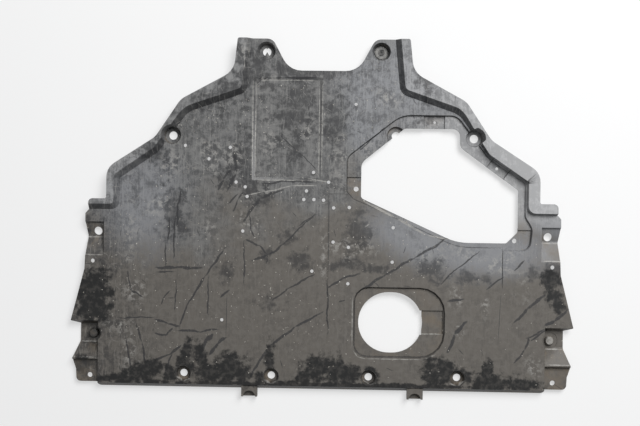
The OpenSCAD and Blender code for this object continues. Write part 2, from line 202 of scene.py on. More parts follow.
PATCHES: dict[Layer, tuple[Patch, ...]] = {
    Layer.GREASE: (
        Patch(-187, -304, 36, 34), Patch(-220, -312, 30, 24), Patch(-155, -320, 18, 22),
        Patch(-271, -279, 12, 36, -12), Patch(-238, -280, 14, 30, 20), Patch(-100, -278, 10, 34),
        Patch(-268, -305, 20, 20), Patch(-8, -303, 26, 30), Patch(34, -304, 34, 30), Patch(58, -318, 20, 16),
        Patch(-30, -318, 16, 18), Patch(225, -307, 22, 30), Patch(248, -300, 20, 26), Patch(276, -314, 18, 20),
        Patch(344, -320, 50, 16), Patch(404, -326, 40, 12), Patch(334, -296, 10, 18), Patch(-356, -316, 44, 20),
        Patch(-338, -300, 24, 16), Patch(-400, -326, 30, 12), Patch(-458, -140, 36, 34), Patch(-456, -185, 36, 30),
        Patch(-464, -226, 18, 28), Patch(-432, -155, 20, 12), Patch(466, -146, 20, 14), Patch(456, -116, 22, 18),
        Patch(472, -165, 14, 20), Patch(104, -312, 16, 16), Patch(-480, -300, 20, 20), Patch(-302, -318, 20, 16),
        Patch(-432, -328, 24, 8), Patch(-335, -306, 24, 20), Patch(66, -312, 16, 22), Patch(-120, -322, 14, 14),
        Patch(290, -312, 18, 18), Patch(0, -333, 440, 6),
    ),
    Layer.RUBBED: (
        Patch(-42, 238, 32, 40), Patch(-42, 256, 40, 26), Patch(-107, 263, 26, 12), Patch(67, -20, 30, 32),
        Patch(80, -34, 22, 14), Patch(71, 14, 24, 12), Patch(28, -94, 20, 12), Patch(103, -98, 34, 10),
        Patch(60, -90, 40, 14), Patch(-124, 40, 30, 20, 30), Patch(-55, 141, 20, 30, -40), Patch(-222, 235, 30, 26),
        Patch(-158, 262, 22, 50), Patch(-190, 90, 20, 50, -25), Patch(28, 200, 30, 60), Patch(17, 322, 50, 18),
        Patch(-30, 300, 110, 26), Patch(-150, 290, 50, 40), Patch(-60, 200, 50, 60), Patch(-188, 255, 50, 30, 15),
        Patch(70, -30, 28, 36), Patch(213, 200, 30, 12), Patch(-296, 10, 30, 60), Patch(292, -112, 30, 16),
        Patch(222, -98, 30, 28), Patch(328, -114, 12, 10), Patch(420, -104, 12, 20), Patch(-110, -70, 18, 14),
        Patch(-98, -172, 30, 16), Patch(-190, -110, 16, 26, -30), Patch(-40, -80, 22, 26), Patch(-66, -40, 18, 18),
        Patch(200, 300, 20, 60), Patch(-340, 130, 40, 30), Patch(-168, 318, 12, 40), Patch(-500, -10, 50, 20),
        Patch(470, -100, 30, 20), Patch(-150, 100, 20, 80),
    ),
    Layer.CHALK: (
        Patch(-106, 279, 26, 10), Patch(-360, -150, 18, 50), Patch(-385, -150, 30, 28), Patch(-386, -270, 22, 60),
        Patch(-400, -225, 30, 20), Patch(-220, 120, 80, 50), Patch(-300, 110, 30, 60), Patch(-110, 160, 24, 60),
        Patch(-30, 180, 20, 30), Patch(60, -60, 100, 20), Patch(100, 130, 30, 50), Patch(36, 110, 22, 60),
        Patch(135, 240, 50, 30), Patch(240, -66, 80, 20), Patch(350, -80, 60, 30), Patch(-150, -10, 30, 30, 60),
        Patch(-224, -20, 20, 30, 30), Patch(4, -60, 8, 110), Patch(-330, 20, 50, 30), Patch(-380, -40, 30, 80),
        Patch(280, -230, 12, 30, 20), Patch(-160, 330, 12, 30), Patch(400, -130, 20, 40), Patch(430, -290, 20, 30),
        Patch(270, -150, 16, 30), Patch(330, -170, 10, 20), Patch(-112, 52, 30, 10, 10),
    ),
    # Painted sheen zones: cleaner plastic shown lighter than the film, as the lamp's sheen.
    Layer.CLEAN_SHEEN: (
        Patch(350, 150, 190, 180), Patch(190, 270, 150, 130), Patch(470, 10, 70, 70), Patch(100, 260, 90, 110),
        Patch(320, -62, 170, 62), Patch(190, -40, 130, 56, -25), Patch(-365, 35, 105, 130), Patch(90, 180, 60, 80),
    ),
}

# Drain holes with a raised rim, in millimetres.
DRAIN_RADIUS = 3.4
DRAINS: tuple[tuple[float, float], ...] = (
    (-17.7, 92.2), (12.8, 72.8), (-31.4, 54.8), (-36.4, 37.6), (-16.2, 37.8), (3.1, 36.7), (23.5, 21.6),
    (54.8, 22.8), (143, -16.3), (54.1, -56.8), (23.4, -46.8), (141.9, -85.2), (-276, 143.2), (-185.3, 140.4),
    (-228, 116.9), (-172.9, 70.8), (-154.3, 61.4), (-150.2, 42.3), (65.8, 229.4), (-158.1, -27.2), (-18.4, -105.6),
    (-197.8, -205.9), (53.9, -129.7),
)


class Wires:
    """Builds a shader or geometry tree with few words."""

    def __init__(self, tree: bpy.types.NodeTree, spread: str = "3D") -> None:
        """Keeps the tree.

        Args:
            tree: The node tree to add to.
            spread: "2D" where the noises only need X and Y, or "3D".
        """
        self.tree = tree
        self.spread = spread

    def node(self, kind: str, **settings: object) -> bpy.types.Node:
        """Adds a node.

        Args:
            kind: The node's type name.
            **settings: Attributes set on it.

        Returns:
            The new node.
        """
        made = self.tree.nodes.new(kind)
        for name, value in settings.items():
            setattr(made, name, value)
        return made

    def feed(self, socket: Socket, value: object) -> None:
        """Links or sets an input.

        Args:
            socket: The input.
            value: A socket to link, or a plain value.
        """
        if isinstance(value, Socket):
            self.tree.links.new(value, socket)
        else:
            socket.default_value = value

    def math(self, operation: str, *values: object, clamp: bool = False) -> Socket:
        """Adds a Math node and returns its output."""
        made = self.node("ShaderNodeMath", operation=operation, use_clamp=clamp)
        for socket, value in zip(made.inputs, values):
            self.feed(socket, value)
        return made.outputs[0]

    def vector(self, operation: str, *values: object) -> Socket:
        """Adds a Vector Math node and returns the output that the operation fills."""
        made = self.node("ShaderNodeVectorMath", operation=operation)
        for socket, value in zip(made.inputs, values):
            self.feed(socket, value)
        return made.outputs["Value" if operation in ("LENGTH", "DOT_PRODUCT", "DISTANCE") else "Vector"]

    def scaled(self, value: object, factor: float) -> Socket:
        """Scales a vector by one number."""
        made = self.node("ShaderNodeVectorMath", operation="SCALE")
        self.feed(made.inputs[0], value)
        made.inputs["Scale"].default_value = factor
        return made.outputs["Vector"]

    def ramp(self, value: object, low: float, high: float, to_low: float = 0.0,
             to_high: float = 1.0, smooth: bool = True) -> Socket:
        """Maps a range.

        Args:
            value: What is mapped.
            low: Input that gives to_low.
            high: Input that gives to_high.
            to_low: Output at low.
            to_high: Output at high.
            smooth: Whether the passage is eased.

        Returns:
            The mapped value.
        """
        made = self.node("ShaderNodeMapRange", interpolation_type="SMOOTHSTEP" if smooth else "LINEAR")
        for name, number in (("Value", value), ("From Min", low), ("From Max", high),
                             ("To Min", to_low), ("To Max", to_high)):
            self.feed(made.inputs[name], number)
        return made.outputs["Result"]

    def noise(self, place: object, scale: float, detail: float = 3.0, rough: float = 0.55,
              stretch: Colour = (1.0, 1.0, 1.0), shift: Colour = (0.0, 0.0, 0.0)) -> Socket:
        """Adds a noise texture.

        Args:
            place: Coordinates.
            scale: Cells a metre.
            detail: Octaves.
            rough: Weight of the finer octaves.
            stretch: Scale along each axis.
            shift: Offset, which picks another pattern.

        Returns:
            The noise value.
        """
        mapped = self.node("ShaderNodeMapping")
        self.feed(mapped.inputs["Vector"], place)
        mapped.inputs["Scale"].default_value = stretch
        mapped.inputs["Location"].default_value = shift
        made = self.node("ShaderNodeTexNoise", noise_dimensions=self.spread)
        self.feed(made.inputs["Vector"], mapped.outputs[0])
        made.inputs["Scale"].default_value = scale
        made.inputs["Detail"].default_value = detail
        made.inputs["Roughness"].default_value = rough
        return made.outputs["Fac"]

    def bump(self, height: object, strength: float, distance: float,
             under: object = None) -> Socket:
        """Adds a Bump node.

        Args:
            height: What stands out.
            strength: Its strength.
            distance: Height of a full step, in metres.
            under: A normal that it is laid over.

        Returns:
            The bent normal.
        """
        made = self.node("ShaderNodeBump")
        made.inputs["Strength"].default_value = strength
        made.inputs["Distance"].default_value = distance
        self.feed(made.inputs["Height"], height)
        if under is not None:
            self.feed(made.inputs["Normal"], under)
        return made.outputs[0]

    def mix(self, factor: object, first: object, second: object) -> Socket:
        """Mixes two colours.

        Args:
            factor: Share of the second.
            first: A colour or a socket.
            second: A colour or a socket.

        Returns:
            The mixed colour.
        """
        made = self.node("ShaderNodeMix", data_type="RGBA")
        self.feed(made.inputs[0], factor)
        for socket, value in ((made.inputs[6], first), (made.inputs[7], second)):
            self.feed(socket, (*value, 1.0) if isinstance(value, tuple) else value)
        return made.outputs[2]


class MarkField:
    """Turns the lists of marks into masks.

    Each mark is one long ellipse, so that it tapers to its ends, and the
    distance to the nearest one is what a mask is cut from.
    """

    def __init__(self, wires: Wires, place: Socket) -> None:
        """Keeps where the marks are drawn.

        Args:
            wires: The material's tree.
            place: Coordinates on the part, with Z at nought.
        """
        self.wires = wires
        self.place = wires.vector("ADD", place, (0.0, 0.0, 1.0))

    @staticmethod
    def _along(score: Score) -> list[Ellipse]:
        """Splits a score into ellipses that overlap a little.

        Args:
            score: The line.

        Returns:
            Middle, half length and half width in millimetres and turn of each stretch.
        """
        made = []
        for (x0, y0), (x1, y1) in zip(score.points, score.points[1:]):
            reach = math.hypot(x1 - x0, y1 - y0) / 2.0
            made.append(((x0 + x1) / 2.0, (y0 + y1) / 2.0, reach * OVERLAP, score.half_width,
                         math.atan2(y1 - y0, x1 - x0)))
        return made

    def _nearest(self, marks: list[Ellipse]) -> Socket:
        """Measures how far each point is from the nearest ellipse.

        Args:
            marks: The ellipses.

        Returns:
            The distance, which is 1 on an ellipse's edge.
        """
        best: object = 90.0
        for *sizes, turn in marks:
            x, y, half_x, half_y = (size / MM for size in sizes)
            cos, sin = math.cos(turn), math.sin(turn)
            along = self.wires.vector("DOT_PRODUCT", self.place,
                                      (cos / half_x, sin / half_x, -(x * cos + y * sin) / half_x))
            across = self.wires.vector("DOT_PRODUCT", self.place,
                                       (-sin / half_y, cos / half_y, (x * sin - y * cos) / half_y))
            square = self.wires.math("MULTIPLY_ADD", along, along, self.wires.math("MULTIPLY", across, across))
            best = self.wires.math("MINIMUM", best, square)
        return self.wires.math("SQRT", best)

    def scores(self, layer: Layer, ragged: object = 0.0) -> Socket:
        """Draws the line marks of a layer.

        Args:
            layer: Which list.
            ragged: Added to the distance, to break the edge.

        Returns:
            The mask.
        """
        marks = [ellipse for score in SCORES[layer] for ellipse in self._along(score)]
        return self.wires.ramp(self.wires.math("ADD", self._nearest(marks), ragged), 1.05, 0.62)

    def patches(self, layer: Layer, ragged: object, soft: float = 0.45) -> Socket:
        """Draws the soft marks of a layer.

        Args:
            layer: Which list.
            ragged: Added to the distance, to break the edge.
            soft: Distance at which the mask is full.

        Returns:
            The mask.
        """
        marks = [(p.x, p.y, p.half_x, p.half_y, math.radians(p.turn)) for p in PATCHES[layer]]
        return self.wires.ramp(self.wires.math("ADD", self._nearest(marks), ragged), 1.25, soft)


@dataclass(frozen=True)
class Hairlines:
    """Short straight scratches, one to each cell of a plane, all of one kind."""

    cells: float
    half_length: float
    half_width: float
    lean: float
    spread: float
    share: float
    shift: Colour = (0.0, 0.0, 0.0)

    def draw(self, w: Wires, place: Socket) -> Socket:
        """Draws them.

        Args:
            w: The material's tree.
            place: Coordinates on the part, with Z at nought.

        Returns:
            The mask.
        """
        moved = w.vector("ADD", place, self.shift)
        cell = w.node("ShaderNodeTexVoronoi", voronoi_dimensions="2D", feature="F1")
        w.feed(cell.inputs["Vector"], moved)
        cell.inputs["Scale"].default_value = self.cells
        away = w.vector("SUBTRACT", moved, cell.outputs["Position"])
        pick = w.node("ShaderNodeSeparateColor")
        w.feed(pick.inputs[0], cell.outputs["Color"])
        angle = w.math("MULTIPLY_ADD", w.math("SUBTRACT", pick.outputs[0], 0.5), math.radians(self.spread),
                       math.radians(self.lean))
        turned = w.node("ShaderNodeVectorRotate", rotation_type="Z_AXIS")
        w.feed(turned.inputs["Vector"], w.vector("MULTIPLY", away, (1.0, 1.0, 0.0)))
        w.feed(turned.inputs["Angle"], angle)
        reach = w.vector("LENGTH", w.vector("DIVIDE", turned.outputs[0], (self.half_length, self.half_width, 1.0)))
        there = w.math("LESS_THAN", pick.outputs[1], self.share)
        return w.math("MULTIPLY", w.ramp(reach, 1.0, 0.5), there)


class GrimeAndPaintedLight:
    """Masks of the dust, the marks and the grease on the moulding, and of painted light, sheen, highlights and shade.
    """

    FLATTEN = (1.0, 1.0, 0.0)
    WOBBLE_CELLS = 42.0      # cells a metre of the noise that bends the marks
    MARK_BEND = 0.008        # how far it moves dust and scratches
    LINE_BEND = 0.0012       # how far it moves creases and tool lines

    def __init__(self, w: Wires) -> None:
        """Lays out the coordinates, the noises and the zones that the masks share.

        Args:
            w: The material's tree.
        """
        self.w = w
        place = w.node("ShaderNodeTexCoord").outputs["Object"]
        axes = w.node("ShaderNodeSeparateXYZ")
        w.feed(axes.inputs[0], place)
        self.x, self.y, self.level = (axes.outputs[name] for name in "XYZ")
        self.flat = w.vector("MULTIPLY", place, self.FLATTEN)
        wobble = w.node("ShaderNodeTexNoise", noise_dimensions="2D")
        w.feed(wobble.inputs["Vector"], self.flat)
        wobble.inputs["Scale"].default_value = self.WOBBLE_CELLS
        wobble.inputs["Detail"].default_value = 4.0
        bend = w.vector("MULTIPLY", w.vector("SUBTRACT", wobble.outputs["Color"], (0.5, 0.5, 0.5)), self.FLATTEN)
        self.bent = w.vector("ADD", self.flat, w.scaled(bend, self.MARK_BEND))
        self.marks = MarkField(w, self.bent)
        self.lines = MarkField(w, w.vector("ADD", self.flat, w.scaled(bend, self.LINE_BEND)))

        self.clouds = w.noise(self.flat, 26.0, 5.0, 0.65, shift=(3.0, 1.0, 0.0))
        self.mottle = w.noise(self.bent, 85.0, 4.0, 0.68, shift=(5.0, 9.0, 0.0))
        self.grain = w.noise(self.flat, 300.0, 3.0, 0.7, shift=(7.0, 2.0, 0.0))
        self.drawn = w.noise(self.bent, 9.0, 4.0, 0.72, stretch=(34.0, 1.3, 1.0), shift=(1.0, 5.0, 0.0))
        self.ragged = w.math("ADD", w.math("MULTIPLY_ADD", self.clouds, 2.6, -1.3),
                             w.math("MULTIPLY_ADD", self.mottle, 2.2, -1.1))

        drift = w.math("SUBTRACT", w.noise(self.flat, 5.5, 5.0, 0.6), 0.5)
        self.upper = w.ramp(w.math("MULTIPLY_ADD", drift, 0.5, self.y), -0.06, 0.12)
        left = w.ramp(w.math("MULTIPLY_ADD", drift, 0.2, self.x), -0.32, -0.42)
        self.rough_zone = w.math("MAXIMUM", self.upper, left)
        # Painted sheen: the zones of cleaner plastic turn the film lighter and cooler.
        self.bare = self.marks.patches(Layer.CLEAN_SHEEN, w.math("MULTIPLY", self.ragged, 0.25), 0.3)
        # Pale dust, with painted light on the right-hand rim and ledge.
        self.pale = self._pale_dust_and_light()

    def _pale_dust_and_light(self) -> Socket:
        """Finds the pale zones on the rim, on the ledge and between them on the right: pale dust, with painted light
        that brightens the lamp side and the rim's cast shadow.

        Returns:
            The mask.
        """
        w = self.w
        # The rim pales toward the right: pale dust, and painted light on the lamp side.
        rim = w.math("MULTIPLY", w.ramp(self.level, PANEL_Z + 0.8 * RIM_RISE, PANEL_Z + 0.96 * RIM_RISE),
                     w.math("MAXIMUM", w.ramp(self.x, 0.08, 0.40, 0.25, 1.0),
                            w.ramp(self.x, -0.24, -0.42, 0.0, 0.50)))
        ledge = w.math("MULTIPLY", w.ramp(self.level, PANEL_Z - 0.7 * LEDGE_DROP, PANEL_Z - 0.9 * LEDGE_DROP),
                       w.ramp(self.x, 0.12, 0.26, 0.0, 0.75))
        ledge = w.math("MULTIPLY", ledge, w.ramp(self.y, -0.04, 0.03))
        # Painted light: pales the strip at the foot of the rim on the right, where the rim's shadow falls.
        painted_light_strip = w.math("MULTIPLY", w.ramp(self.x, 0.31, 0.36, 0.0, 0.85), w.ramp(self.y, -0.03, 0.03))
        return w.math("MAXIMUM", w.math("MAXIMUM", rim, ledge), painted_light_strip)

    def _wall_dust_and_shade(self) -> Socket:
        """Finds how much of the film a face shows: a wall shows less and renders darker, which is painted shade, and
        a face turned to the key lamp shows more, which is painted light.

        Returns:
            The share, from 0 to 1.
        """
        w = self.w
        facing = w.node("ShaderNodeSeparateXYZ")
        w.feed(facing.inputs[0], w.node("ShaderNodeNewGeometry").outputs["True Normal"])
        # Painted light: faces turned toward the key lamp, up and to the right, keep more of the pale film.
        painted_lamp_side = w.math("MULTIPLY_ADD", facing.outputs["X"], 0.41, w.math("MULTIPLY", facing.outputs["Y"], 0.58))
        painted_lamp_side = w.math("MULTIPLY", w.ramp(painted_lamp_side, 0.05, 0.30), w.ramp(self.y, 0.10, 0.25, 0.30, 1.0))
        # Painted shade: walls keep little film and render darker. Walls at the far left keep more, and walls on the
        # right keep more as painted light.
        on_walls = w.math("MAXIMUM", w.ramp(self.x, -0.44, -0.30, 0.62, 0.32),
                          w.ramp(self.x, 0.31, 0.36, 0.32, 0.85))
        return w.math("MAXIMUM", w.ramp(facing.outputs["Z"], 0.70, 0.97, on_walls, 1.0), painted_lamp_side)

    def cover(self) -> Socket:
        """Finds the share of the dust film, with painted shade on walls and painted light on the lamp side and on the
        right.

        Returns:
            The share of film over bare plastic.
        """
        w = self.w
        cover = w.math("ADD", w.math("MULTIPLY", self.clouds, 0.9), w.math("MULTIPLY", self.mottle, 0.9))
        cover = w.math("ADD", cover, w.math("MULTIPLY", w.math("SUBTRACT", self.drawn, 0.5), 0.7))
        cover = w.math("ADD", cover, w.math("MULTIPLY", w.math("SUBTRACT", self.grain, 0.5), 0.5))
        worn = w.ramp(cover, 0.60, 1.15, 0.22, 1.0)
        even = w.ramp(cover, 0.50, 1.05, 0.70, 1.04)
        cover = w.math("ADD", w.math("MULTIPLY", worn, self.rough_zone),
                       w.math("MULTIPLY", even, w.math("SUBTRACT", 1.0, self.rough_zone)))
        cover = w.math("MULTIPLY_ADD", cover, 0.86, 0.14)
        # The pale zones, partly painted light, fill in the film.
        cover = w.math("MAXIMUM", cover, w.math("MULTIPLY", self.pale, 0.8))
        rubbed = self.marks.patches(Layer.RUBBED, w.math("MULTIPLY", self.ragged, 0.85), 0.25)
        return w.math("MULTIPLY", w.math("MULTIPLY", cover, self._wall_dust_and_shade()),
                      w.math("MULTIPLY_ADD", rubbed, -0.66, 1.0))

    def scuffs(self) -> Socket:
        """Draws pale powder, drag streaks and hairlines.

        Returns:
            The mask.
        """
        w = self.w
        scuffed = self.marks.patches(Layer.CHALK, w.math("MULTIPLY", self.ragged, 1.2), 0.3)
        powder = w.math("MULTIPLY", w.ramp(self.mottle, 0.47, 0.66), w.math("MULTIPLY_ADD", scuffed, 0.62, 0.06))
        streak = w.math("MULTIPLY", w.ramp(self.drawn, 0.60, 0.72),
                        w.math("MULTIPLY_ADD", self.rough_zone, 0.22, 0.10))
        hair = w.math("MAXIMUM", Hairlines(38.0, 0.011, 0.0005, 35.0, 150.0, 0.55).draw(w, self.bent),
                      Hairlines(64.0, 0.007, 0.0004, 80.0, 70.0, 0.5, (0.3, 0.7, 0.0)).draw(w, self.flat))
        hair = w.math("MULTIPLY", hair, w.math("MULTIPLY_ADD", self.rough_zone, 0.38, 0.10))
        return w.math("MAXIMUM", w.math("MAXIMUM", powder, streak), hair)

    def earth(self) -> Socket:
        """Lays brown earth in the sunk levels, but not at the bottom of the cups.

        Returns:
            The mask.
        """
        w = self.w
        dirt = w.math("MULTIPLY", w.ramp(self.level, PANEL_Z - 0.002, PANEL_Z - 0.010),
                      w.ramp(self.clouds, 0.40, 0.62, 0.0, 0.55))
        dirt = w.math("MULTIPLY", dirt, w.ramp(self.level, PANEL_Z - 0.0145, PANEL_Z - 0.0120))
        return w.math("MULTIPLY", dirt, w.math("MULTIPLY_ADD", self.bare, -0.9, 1.0))

    def edge_highlights(self) -> Socket:
        """Draws the painted highlights on folds and edges that catch the light, partly worn pale."""
        # Breaks the painted highlights into patches.
        worn = self.w.ramp(self.mottle, 0.34, 0.56, 0.25, 0.85)
        return self.w.math("MULTIPLY", self.lines.scores(Layer.EDGE_HIGHLIGHT), worn)

    def dark_scores_and_shade_lines(self) -> Socket:
        """Draws the dark scores, the tool lines with a few lines of painted shade on step walls, and small nicks.

        Returns:
            The mask.
        """
        w = self.w
        nicks = Hairlines(30.0, 0.010, 0.0011, 55.0, 120.0, 0.22, (0.9, 0.2, 0.0)).draw(w, self.bent)
        nicks = w.math("MULTIPLY", nicks, w.ramp(self.clouds, 0.45, 0.6))
        # Scores, tool lines and nicks, with a few lines of painted shade.
        cut = w.math("MAXIMUM", self.marks.scores(Layer.GOUGE, w.math("MULTIPLY_ADD", self.mottle, 0.9, -0.62)),
                     w.math("MAXIMUM", self.lines.scores(Layer.SEAM_AND_SHADE), w.math("MULTIPLY", nicks, 0.8)))
        return w.math("MULTIPLY", cut, w.ramp(self.grain, 0.28, 0.46, 0.45, 1.0))

    def grease(self) -> Socket:
        """Draws the black wet patches, weaker below the panel's face."""
        grease = self.marks.patches(Layer.GREASE, self.w.math("MULTIPLY", self.ragged, 0.58), 0.68)
        return self.w.math("MULTIPLY", grease, self.w.ramp(self.level, PANEL_Z - 0.0040, PANEL_Z - 0.0005, 0.45, 1.0))

    def relief(self) -> Socket:
        """Adds the grain of the surface over a slow waviness.

        Returns:
            The bent normal.
        """
        w = self.w
        height = w.math("ADD", w.math("MULTIPLY", self.grain, 0.35),
                        w.math("MULTIPLY", w.noise(self.flat, 1100.0, 2.0, 0.6), 0.15))
        height = w.math("ADD", height, w.math("MULTIPLY", self.drawn, 0.35))
        sag = w.noise(self.flat, 4.0, 2.0, 0.4, shift=(2.0, 8.0, 0.0))
        return w.bump(height, 0.30, 0.0007, w.bump(sag, 0.35, 0.010))


@dataclass(frozen=True)
class WornMoulding:
    """Black polypropylene under a film of road dust, scored, greasy and streaked, with painted sheen, highlights,
    light and shade.
    """

    plastic: Colour = (0.026, 0.026, 0.028)
    film: Colour = (0.118, 0.107, 0.094)
    # Cooler, lighter film toward the top: partly less brown dust, partly a painted cool sheen from the lamp side.
    cool: Colour = (0.165, 0.167, 0.168)
    # Lighter cool grey of the painted sheen on cleaner plastic.
    clean_sheen: Colour = (0.230, 0.236, 0.250)
    # Pale grey of dust on the rim and ledge, also used as painted light on the right.
    pale: Colour = (0.400, 0.402, 0.408)
    # Pale scuff colour, also used for the painted edge highlights.
    chalk_and_highlight: Colour = (0.340, 0.330, 0.310)
    grease: Colour = (0.010, 0.010, 0.010)
    earth: Colour = (0.165, 0.130, 0.092)

    def build(self) -> bpy.types.Material:
        """Makes the material and returns it."""
        material = bpy.data.materials.new("worn_black_moulding")
        material.use_nodes = True
        shader = material.node_tree.nodes["Principled BSDF"]
        w = Wires(material.node_tree, "2D")
        grime_and_light = GrimeAndPaintedLight(w)
        # The film turns lighter and cooler toward the top: browner dust lower down, and a painted cool sheen above.
        film = w.mix(w.math("MULTIPLY", grime_and_light.upper, 0.8), self.film, self.cool)
        # Painted sheen on cleaner plastic lightens the film in these zones.
        film = w.mix(w.math("MULTIPLY", grime_and_light.bare, 0.85), film, self.clean_sheen)
        # Pale zones: pale dust, and painted light on the right.
        film = w.mix(grime_and_light.pale, film, self.pale)

        cover, light, grease = grime_and_light.cover(), grime_and_light.scuffs(), grime_and_light.grease()
        colour = w.mix(cover, self.plastic, film)
        colour = w.mix(light, colour, self.chalk_and_highlight)
        colour = w.mix(grime_and_light.earth(), colour, self.earth)
        # Painted highlights on folds and edges, in the pale scuff colour.
        colour = w.mix(grime_and_light.edge_highlights(), colour, self.chalk_and_highlight)
        # Dark scores and tool lines in the black plastic colour. A few lines are painted shade on step walls.
        colour = w.mix(w.math("MULTIPLY", grime_and_light.dark_scores_and_shade_lines(), 0.88), colour, self.plastic)
        thick = w.ramp(grime_and_light.mottle, 0.42, 0.66, 0.99, 0.76)
        w.feed(shader.inputs["Base Color"], w.mix(w.math("MULTIPLY", grease, thick), colour, self.grease))
        gloss = w.math("MULTIPLY_ADD", light, 0.25, w.math("MULTIPLY_ADD", cover, 0.20, 0.40))
        w.feed(shader.inputs["Roughness"], w.math("MULTIPLY_ADD", grease, -0.06, gloss))
        w.feed(shader.inputs["Normal"], grime_and_light.relief())
        return material


@dataclass(frozen=True)
class DustyFastener:
    """Plain plastic of a small fastener, with patches of dust."""

    name: str
    colour: Colour
    dust: Colour
    roughness: float

    def build(self) -> bpy.types.Material:
        """Makes the material and returns it."""
        material = bpy.data.materials.new(self.name)
        material.use_nodes = True
        w = Wires(material.node_tree)
        shader = material.node_tree.nodes["Principled BSDF"]
        place = w.node("ShaderNodeTexCoord").outputs["Object"]
        patch = w.noise(place, 160.0, 4.0, 0.65)
        grain = w.noise(place, 1400.0, 3.0, 0.6)
        w.feed(shader.inputs["Base Color"], w.mix(w.ramp(patch, 0.38, 0.62), self.colour, self.dust))
        w.feed(shader.inputs["Roughness"], w.ramp(patch, 0.3, 0.7, self.roughness - 0.1, self.roughness + 0.12))
        w.feed(shader.inputs["Normal"], w.bump(grain, 0.3, 0.0002))
        return material


@dataclass(frozen=True)
class DriedMud:
    """Crumbs of dry earth stuck to the panel."""

    colour: Colour = (0.230, 0.210, 0.180)
    pale: Colour = (0.480, 0.460, 0.420)

    def build(self) -> bpy.types.Material:
        """Makes the material and returns it."""
        material = bpy.data.materials.new("dried_mud")
        material.use_nodes = True
        w = Wires(material.node_tree)
        shader = material.node_tree.nodes["Principled BSDF"]
        place = w.node("ShaderNodeTexCoord").outputs["Object"]
        tone = w.noise(place, 90.0, 3.0, 0.6)
        w.feed(shader.inputs["Base Color"], w.mix(w.ramp(tone, 0.4, 0.62), self.colour, self.pale))
        shader.inputs["Roughness"].default_value = 0.92
        w.feed(shader.inputs["Normal"], w.bump(w.noise(place, 2500.0, 2.0), 0.5, 0.0003))
        return material


def cleaned_copy(node: str, name: str, angle: float) -> bpy.types.Object:
    """Copies a CAD node, joins its loose triangles and shades only its curves smooth.

    Args:
        node: The CAD node.
        name: Name of the new object.
        angle: Edges sharper than this many degrees stay sharp.

    Returns:
        The new object, at the origin.
    """
    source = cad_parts[node]
    mesh = source.data.copy()
    mesh.name = name
    work = bmesh.new()
    work.from_mesh(mesh)
    bmesh.ops.remove_doubles(work, verts=work.verts, dist=1e-6)
    work.to_mesh(mesh)
    work.free()
    mesh.materials.clear()
    mesh.shade_smooth()
    mesh.set_sharp_from_angle(angle=math.radians(angle))
    for face in mesh.polygons:
        face.use_smooth = abs(face.normal.z) < 0.999
    made = bpy.data.objects.new(name, mesh)
    bpy.context.scene.collection.objects.link(made)
    return made


@dataclass
class ShieldMoulding:
    """The moulding itself, dressed over the CAD shape."""

    smooth_angle: float = 13.0
    steeper: float = 0.0085
    steeper_from: float = 0.27
    steeper_to: float = 0.33
    piece: bpy.types.Object | None = field(default=None, init=False)

    def _steepen(self, mesh: bpy.types.Mesh) -> None:
        """Moves the top of the rim's inner wall inwards on the right, where it stands steeper.

        Args:
            mesh: The moulding, changed in place.
        """
        inward: dict[int, Vector] = {}
        for face in mesh.polygons:
            if 0.70 < face.normal.z < 0.78 and PANEL_Z < face.center.z < PANEL_Z + RIM_RISE:
                way = Vector((face.normal.x, face.normal.y, 0.0)).normalized()
                for index in face.vertices:
                    inward[index] = inward.get(index, Vector()) + way * face.area
        for index, way in inward.items():
            spot = mesh.vertices[index].co
            high = max(0.0, (spot.z - PANEL_Z) / RIM_RISE)
            near = min(1.0, max(0.0, (spot.x - self.steeper_from) / (self.steeper_to - self.steeper_from)))
            spot += way.normalized() * high * near * self.steeper

    def build(self, finish: WornMoulding) -> bpy.types.Object:
        """Makes the moulding.

        Args:
            finish: Its material.

        Returns:
            The new piece.
        """
        self.piece = cleaned_copy("shield", "shield_skin", self.smooth_angle)
        self._steepen(self.piece.data)
        self.piece.data.materials.append(finish.build())
        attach(self.piece, "root")
        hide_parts("shield")
        return self.piece


@dataclass
class PushRetainer:
    """Split grommet and centre pin left in the right rear tab."""

    smooth_angle: float = 30.0
    edge_radius: float = 0.0003
    edge_angle: float = 50.0

    def build(self) -> list[bpy.types.Object]:
        """Makes both pieces and returns them."""
        made = []
        for node, slot, finish in (
                ("retainer_grommet", Slot.GROMMET,
                 DustyFastener("retainer_grommet_plastic", (0.110, 0.108, 0.105), (0.24, 0.235, 0.22), 0.5)),
                ("retainer_pin", Slot.PIN,
                 DustyFastener("retainer_pin_plastic", (0.020, 0.020, 0.020), (0.10, 0.095, 0.09), 0.45))):
            piece = cleaned_copy(node, node + "_skin", self.smooth_angle)
            bevel = piece.modifiers.new("rounded_edges", "BEVEL")
            bevel.width = self.edge_radius
            bevel.segments = 2
            bevel.limit_method = "ANGLE"
            bevel.angle_limit = math.radians(self.edge_angle)
            piece.data.materials.append(finish.build())
            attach(piece, "root")
            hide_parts(node)
            made.append(piece)
        return made


